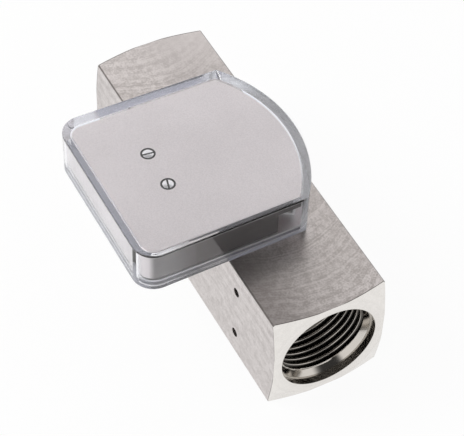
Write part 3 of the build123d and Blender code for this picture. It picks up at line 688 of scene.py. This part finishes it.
def display_block(name, inset, foot, top, rounding):
    """Solid block with the display's outline, drawn in by inset, and a rounded top edge."""
    radius = window_radius - inset
    half = (cover_high.x - cover_low.x) / 2 - inset
    back = cover_low.y + inset
    turn = pi / 2 - atan(sqrt(radius**2 - half**2) / half)
    near_corner = max(window_corner - inset, least_corner) * tan(turn / 2)
    far_corner = max(back_corner - inset, least_corner)
    shoulder = pivot_y + sqrt(radius**2 - half**2)
    block = begin(
        name,
        bpy.ops.mesh.primitive_circle_add,
        vertices=arc_segments,
        radius=radius,
        fill_type="NGON",
        location=(cover_middle_x, pivot_y, foot),
    )
    for plane_co, plane_no in (
        ((cover_middle_x - half, 0, foot), (-1, 0, 0)),
        ((cover_middle_x + half, 0, foot), (1, 0, 0)),
        ((0, back, foot), (0, -1, 0)),
    ):
        edit(block, "vertices", everything)
        bpy.ops.mesh.bisect(plane_co=plane_co, plane_no=plane_no, clear_outer=True)
    for corner_y, size, on_arc in ((shoulder, near_corner, True), (back, far_corner, False)):
        corners = [Vector((cover_middle_x + side * half, corner_y, foot)) for side in (-1, 1)]
        if on_arc:
            edit(
                block,
                "vertices",
                lambda v: any(same_place < (v.co - corner).length < corner_reach * size for corner in corners),
            )
            bpy.ops.mesh.dissolve_verts()
        edit(block, "vertices", lambda v: any((v.co - corner).length < same_place for corner in corners))
        bpy.ops.mesh.bevel(offset=size, segments=corner_segments, affect="VERTICES")
    bpy.ops.mesh.select_all(action="SELECT")
    bpy.ops.mesh.extrude_region_move(TRANSFORM_OT_translate={"value": (0, 0, top - foot)})
    bpy.ops.mesh.select_all(action="SELECT")
    bpy.ops.mesh.normals_make_consistent(inside=False)
    mesh = block.data
    edit(block, "edges", lambda e: all(mesh.vertices[i].co.z > top - same_place for i in e.vertices), "EDGE")
    bpy.ops.mesh.bevel(offset=rounding, segments=round_segments, affect="EDGES")
    bpy.ops.object.mode_set(mode="OBJECT")
    return block


def cut_out(piece, tool):
    """Cuts a tool's shape out of a piece, and removes the tool."""
    modified(piece, "BOOLEAN", object=tool, operation="DIFFERENCE", solver="EXACT")
    bpy.data.objects.remove(tool)


hood_ceiling = hood_high.z - hood_top
hood = display_block("hood_shell", hood_inset, hood_low.z, hood_high.z, hood_round)
hollow = display_block(
    "hood_hollow", hood_inset + hood_skirt, hood_low.z - cut_past, hood_ceiling, hood_round / 2
)
cut_out(hood, hollow)
opening_depth = cover_high.y - skirt_end_y
opening = begin(
    "hood_opening",
    bpy.ops.mesh.primitive_cube_add,
    size=1,
    location=(cover_middle_x, skirt_end_y + opening_depth / 2, hood_ceiling - opening_depth / 2),
    scale=(cover_high.x - cover_low.x, opening_depth, opening_depth),
)
cut_out(hood, opening)
for spot in screw_places:
    bore = begin(
        "counterbore",
        bpy.ops.mesh.primitive_cylinder_add,
        vertices=screw_sides,
        radius=counterbore_radius,
        depth=2 * screw_head_height,
        location=spot,
    )
    cut_out(hood, bore)

hood_finish, tree, shader = new_finish("blasted_sheet", hood_light, 1.0, 0.38)
place = object_place(tree)
axes = split(tree, place)
facing = object_facing(tree)
grain = placed(tree, grain_group, {"Vector": place, "Blotches": 28.0, "Speckles": 2400.0})
upright = node(tree, "ShaderNodeMapping", {"Vector": place, "Scale": (1, 1, 0.015)}).outputs["Vector"]
streaks = node(tree, "ShaderNodeTexNoise", {"Vector": upright, "Scale": 700.0, "Detail": 3.0}).outputs["Fac"]
is_top = eased(tree, facing["Z"], 0.4, 0.7)
pattern = between(tree, is_top, streaks, grain["Speckle"])
tone = eased(tree, maths(tree, "ADD", pattern, grain["Blotch"]), 0.6, 1.3)
sheet = tinted(tree, tone, hood_shade, hood_light)
# Painted reflection: the near skirt is darkened, less towards its left end
is_near = maths(tree, "GREATER_THAN", axes["X"], cover_middle_x)
painted_near_skirt = maths(tree, "MULTIPLY", eased(tree, facing["X"], 0.70, 0.97), is_near)
reflection_fades = eased(tree, axes["Y"], skirt_fade_start, skirt_fade_end, *skirt_reflection_shares)
sheet = tinted(tree, maths(tree, "MULTIPLY", painted_near_skirt, reflection_fades), sheet, near_skirt_painted_reflection)
# Painted reflection: the rounded bend along the top's left edge is darkened
painted_left_bend = maths(tree, "LESS_THAN", axes["Y"], hood_low.y + hood_round)
painted_left_bend = maths(tree, "MULTIPLY", painted_left_bend, eased(tree, facing["Z"], 0.1, 0.3))
sheet = tinted(tree, painted_left_bend, sheet, bend_painted_reflection)
seen_flat = {0: place, 1: (1, 1, 0)}
flat_place = node(tree, "ShaderNodeVectorMath", seen_flat, operation="MULTIPLY").outputs["Vector"]
# Painted shade: the counterbores round the screw heads are darkened
for spot in screw_places:
    spot_inputs = {0: flat_place, 1: (spot.x, spot.y, 0)}
    gap = node(tree, "ShaderNodeVectorMath", spot_inputs, operation="DISTANCE").outputs["Value"]
    in_shaded_bore = maths(tree, "LESS_THAN", gap, counterbore_radius + bore_margin)
    sheet = tinted(tree, in_shaded_bore, sheet, recess_painted_shade)
tree.links.new(sheet, shader.inputs["Base Color"])
rough_top = eased(tree, grain["Speckle"], 0.3, 0.7, *top_roughness)
rough_skirt = eased(tree, streaks, 0.3, 0.7, *skirt_roughness)
rough_side = between(tree, painted_near_skirt, rough_skirt, long_side_roughness)
tree.links.new(between(tree, is_top, rough_side, rough_top), shader.inputs["Roughness"])
relief(tree, shader, pattern, 0.0025 * MM)
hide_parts("mechanism_hood")
finished(hood, "meter", hood_finish)
modified(hood, "WEIGHTED_NORMAL", keep_sharp=True)

# Screws: turned from bright steel. The hood's two have slotted cheese heads
# with a chamfer and a sawn slot, and sit in the counterbores, flush.
slot_width = 0.6 * MM
slot_depth = 0.6 * MM
slot_angles = (radians(81.6), radians(-14.5))
rim_chamfer = 0.15 * MM
sunk_margin = 0.05 * MM
shank_sides = 32
shank_radius = 1.0 * MM
shank_length = 5.0 * MM
screw_light = (0.96, 0.95, 0.94, 1)
screw_shade = (0.82, 0.81, 0.80, 1)
screw_finish = grained(
    "bright_screw", screw_light, screw_shade,
    metallic=1.0, roughness=(0.28, 0.16), grains=(500.0, 6000.0), depth=0.002 * MM,
)
coat(["base_screws", "scale_screws"], screw_finish)
slotted_finish, tree, shader = new_finish("slotted_screw", screw_light, 1.0, 0.2)
place = object_place(tree)
grain = placed(tree, grain_group, {"Vector": place, "Blotches": 500.0, "Speckles": 6000.0})
bright = tinted(tree, grain["Blotch"], screw_shade, screw_light)
# Painted shade: the head below its chamfer and the slot's depth take the near-black recess tone
shaded_sunk = maths(tree, "LESS_THAN", split(tree, place)["Z"], hood_high.z - rim_chamfer - sunk_margin)
tree.links.new(tinted(tree, shaded_sunk, bright, recess_painted_shade), shader.inputs["Base Color"])
tree.links.new(eased(tree, grain["Speckle"], 0.3, 0.7, 0.26, 0.14), shader.inputs["Roughness"])
relief(tree, shader, grain["Speckle"], 0.002 * MM)
for number, (spot, angle) in enumerate(zip(screw_places, slot_angles), 1):
    head = begin(
        f"hood_screw_{number}",
        bpy.ops.mesh.primitive_cylinder_add,
        vertices=screw_sides,
        radius=screw_head_radius,
        depth=screw_head_height,
        location=spot - Vector((0, 0, screw_head_height / 2)),
    )
    mesh = head.data
    edit(head, "edges", lambda e: all(mesh.vertices[i].co.z > spot.z - same_place for i in e.vertices), "EDGE")
    bpy.ops.mesh.bevel(offset=rim_chamfer, segments=2, affect="EDGES")
    bpy.ops.object.mode_set(mode="OBJECT")
    saw = begin(
        "slot_saw",
        bpy.ops.mesh.primitive_cube_add,
        size=1,
        location=spot,
        rotation=(0, 0, angle),
        scale=(3 * screw_head_radius, slot_width, 2 * slot_depth),
    )
    cut_out(head, saw)
    shank = begin(
        "shank",
        bpy.ops.mesh.primitive_cylinder_add,
        vertices=shank_sides,
        radius=shank_radius,
        depth=shank_length,
        location=spot - Vector((0, 0, screw_head_height + shank_length / 2)),
    )
    modified(head, "BOOLEAN", object=shank, operation="UNION", solver="EXACT")
    bpy.data.objects.remove(shank)
    if number == 1:
        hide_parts("hood_screws")
    finished(head, "meter", slotted_finish)

# Clear cover: one moulded acrylic cap over the whole display, polished, with
# a rounded top edge. Its foot is matt on the body and at the left wall, and
# mostly clear between them; the matt part carries painted light and painted
# shade for what the wall shows from beneath. The near wall is a little rough
# in front of the hood's skirt.
cover_wall = 2.6 * MM
cover_top = 2.5 * MM
cover_round = 0.25 * MM
inner_round = 0.08 * MM
foot_gap = 0.03 * MM
acrylic_ior = 1.49
acrylic_tint = (0.965, 0.972, 1.0, 1)
# Painted light and painted shade: tones of the cover's matt foot
foot_painted_light = (0.95, 0.95, 0.97, 1)
foot_painted_middle = (0.56, 0.56, 0.63, 1)
foot_painted_shade = (0.30, 0.30, 0.33, 1)
far_clear_end = -33 * MM
far_clear_share = 0.5
near_clear_end = body_low.y
left_clear_end = cover_low.y + 1.5 * cover_wall
foot_painted_light_range = (2 * MM, 12 * MM)
foot_painted_shade_range = (-46 * MM, -42 * MM)
near_wall_roughness = 0.25
hollow_top = cover_high.z - cover_top
cover = display_block("cover_shell", 0, cover_low.z + foot_gap, cover_high.z, cover_round)
hollow = display_block("cover_hollow", cover_wall, cover_low.z - cut_past, hollow_top, inner_round)
cut_out(cover, hollow)
acrylic, tree, shader = new_finish("clear_acrylic", acrylic_tint, 0.0, 0.0)
shader.inputs["IOR"].default_value = acrylic_ior
shader.inputs["Transmission Weight"].default_value = 1.0
axes = split(tree, object_place(tree))
on_near_wall = maths(tree, "GREATER_THAN", axes["X"], cover_high.x - cover_round)
before_skirt = maths(tree, "LESS_THAN", axes["Y"], skirt_end_y)
is_flat = maths(tree, "GREATER_THAN", object_facing(tree)["X"], 0.97)
is_rough = maths(tree, "MULTIPLY", maths(tree, "MULTIPLY", on_near_wall, before_skirt), is_flat)
tree.links.new(maths(tree, "MULTIPLY", is_rough, near_wall_roughness), shader.inputs["Roughness"])
lets_lamps = node(tree, "ShaderNodeBsdfTransparent", {"Color": (0.93, 0.95, 0.97, 1)})
is_shadow = node(tree, "ShaderNodeLightPath", {}).outputs["Is Shadow Ray"]
through = node(tree, "ShaderNodeMixShader", {0: is_shadow, 1: shader.outputs[0], 2: lets_lamps.outputs[0]})
tree.links.new(through.outputs[0], tree.nodes["Material Output"].inputs["Surface"])
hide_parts("clear_cover")
finished(cover, "meter", acrylic)
modified(cover, "WEIGHTED_NORMAL", keep_sharp=True)
matt_foot, tree, shader = new_finish("matt_foot", foot_painted_light, 0.0, 0.8)
place = object_place(tree)
axes = split(tree, place)
grain = placed(tree, grain_group, {"Vector": place, "Blotches": 300.0, "Speckles": 1800.0})
# Painted light and painted shade: the foot is light towards the right, mid grey from there to near the left
# wall, and dark at the left wall, with a speckle of the dark tone
bare = tinted(tree, eased(tree, axes["Y"], *foot_painted_light_range), foot_painted_middle, foot_painted_light)
bare = tinted(tree, eased(tree, axes["Y"], *foot_painted_shade_range), foot_painted_shade, bare)
mottled = eased(tree, grain["Speckle"], 0.3, 0.7, 0.2, 0.0)
tree.links.new(tinted(tree, mottled, bare, foot_painted_shade), shader.inputs["Base Color"])
clear_inputs = {"Base Color": acrylic_tint, "Roughness": 0.0, "IOR": acrylic_ior}
acrylic_shader = node(tree, "ShaderNodeBsdfPrincipled", clear_inputs)
acrylic_shader.inputs["Transmission Weight"].default_value = 1.0
is_far = maths(tree, "LESS_THAN", axes["X"], cover_middle_x)
clear_end = between(tree, is_far, near_clear_end, far_clear_end)
off_body = maths(tree, "LESS_THAN", axes["Y"], clear_end)
off_left = maths(tree, "GREATER_THAN", axes["Y"], left_clear_end)
clear_share = between(tree, is_far, 1.0, far_clear_share)
is_clear = maths(tree, "MULTIPLY", maths(tree, "MULTIPLY", off_body, off_left), clear_share)
foot = node(tree, "ShaderNodeMixShader", {0: is_clear, 1: shader.outputs[0], 2: acrylic_shader.outputs[0]})
tree.links.new(foot.outputs[0], tree.nodes["Material Output"].inputs["Surface"])
cover.data.materials.append(matt_foot)
for face in cover.data.polygons:
    if face.center.z < cover_low.z + 2 * foot_gap:
        face.material_index = 1

# Studio: a pale sweep under a soft room, darker overhead and behind the camera.
# No surface mirrors the softbox.
camera_sweep = 0.94
mirrored_sweep = 0.85
dark_middle = Vector((0.6, 0, 0.8))
dark_range = (0.82, 0.93)
dark_light = 0.12
overhead_range = (0.72, 0.87)
overhead_light = 0.38
softbox_place = Vector((-0.35, -0.65, 0.75))
softbox_aim = Vector((0, 0, 0.03))
bpy.context.scene.view_settings.view_transform = "Standard"
floor = begin("floor", bpy.ops.mesh.primitive_plane_add, size=6)
floor_finish, tree, shader = new_finish("pale_floor", (0.9, 0.9, 0.9, 1), 0.0, 0.9)
rays = node(tree, "ShaderNodeLightPath", {}).outputs
past_surfaces = maths(tree, "MAXIMUM", rays["Is Glossy Ray"], rays["Is Transmission Ray"])
mirrored = maths(tree, "MULTIPLY", past_surfaces, mirrored_sweep)
sweep_share = maths(tree, "MAXIMUM", maths(tree, "MULTIPLY", rays["Is Camera Ray"], camera_sweep), mirrored)
sweep_light = node(tree, "ShaderNodeEmission", {"Color": (1, 1, 1, 1), "Strength": 1.0})
mixed = node(tree, "ShaderNodeMixShader", {0: sweep_share, 1: shader.outputs[0], 2: sweep_light.outputs[0]})
tree.links.new(mixed.outputs[0], tree.nodes["Material Output"].inputs["Surface"])
floor.data.materials.append(floor_finish)

world = bpy.data.worlds.new("studio")
bpy.context.scene.world = world
world.use_nodes = True
tree = world.node_tree
toward = node(tree, "ShaderNodeTexCoord", {}).outputs["Generated"]
toward_dark = node(tree, "ShaderNodeVectorMath", {0: toward, 1: dark_middle}, operation="DOT_PRODUCT")
lit_share = eased(tree, toward_dark.outputs["Value"], *dark_range, 1.0, dark_light)
room = eased(tree, split(tree, toward)["Z"], *overhead_range, 1.0, overhead_light)
background = tree.nodes["Background"]
background.inputs["Color"].default_value = (1, 0.985, 0.975, 1)
tree.links.new(maths(tree, "MULTIPLY", room, lit_share), background.inputs["Strength"])

lamp = bpy.data.lights.new("key_softbox", "AREA")
lamp.shape = "SQUARE"
lamp.size = 0.5
lamp.energy = 5.0
softbox = bpy.data.objects.new("key_softbox", lamp)
bpy.context.scene.collection.objects.link(softbox)
softbox.location = softbox_place
softbox.visible_glossy = False
softbox.rotation_euler = (softbox_aim - softbox_place).to_track_quat("-Z", "Y").to_euler()

# Camera: at the photograph's angle, turned a little about its own line of sight
camera_place = Vector((351.4, -198.7, 481.1)) * MM
camera_aim = Vector((11.55, -6.65, 30.0)) * MM
camera_roll = radians(2.353)
camera_data = bpy.data.cameras.new("camera")
camera_data.lens = 140.67
camera_data.sensor_width = 36.0
camera = bpy.data.objects.new("camera", camera_data)
bpy.context.scene.collection.objects.link(camera)
camera.location = camera_place
camera.rotation_mode = "QUATERNION"
look = (camera_aim - camera_place).to_track_quat("-Z", "Y")
camera.rotation_quaternion = look @ Quaternion((0, 0, 1), camera_roll)
bpy.context.scene.camera = camera
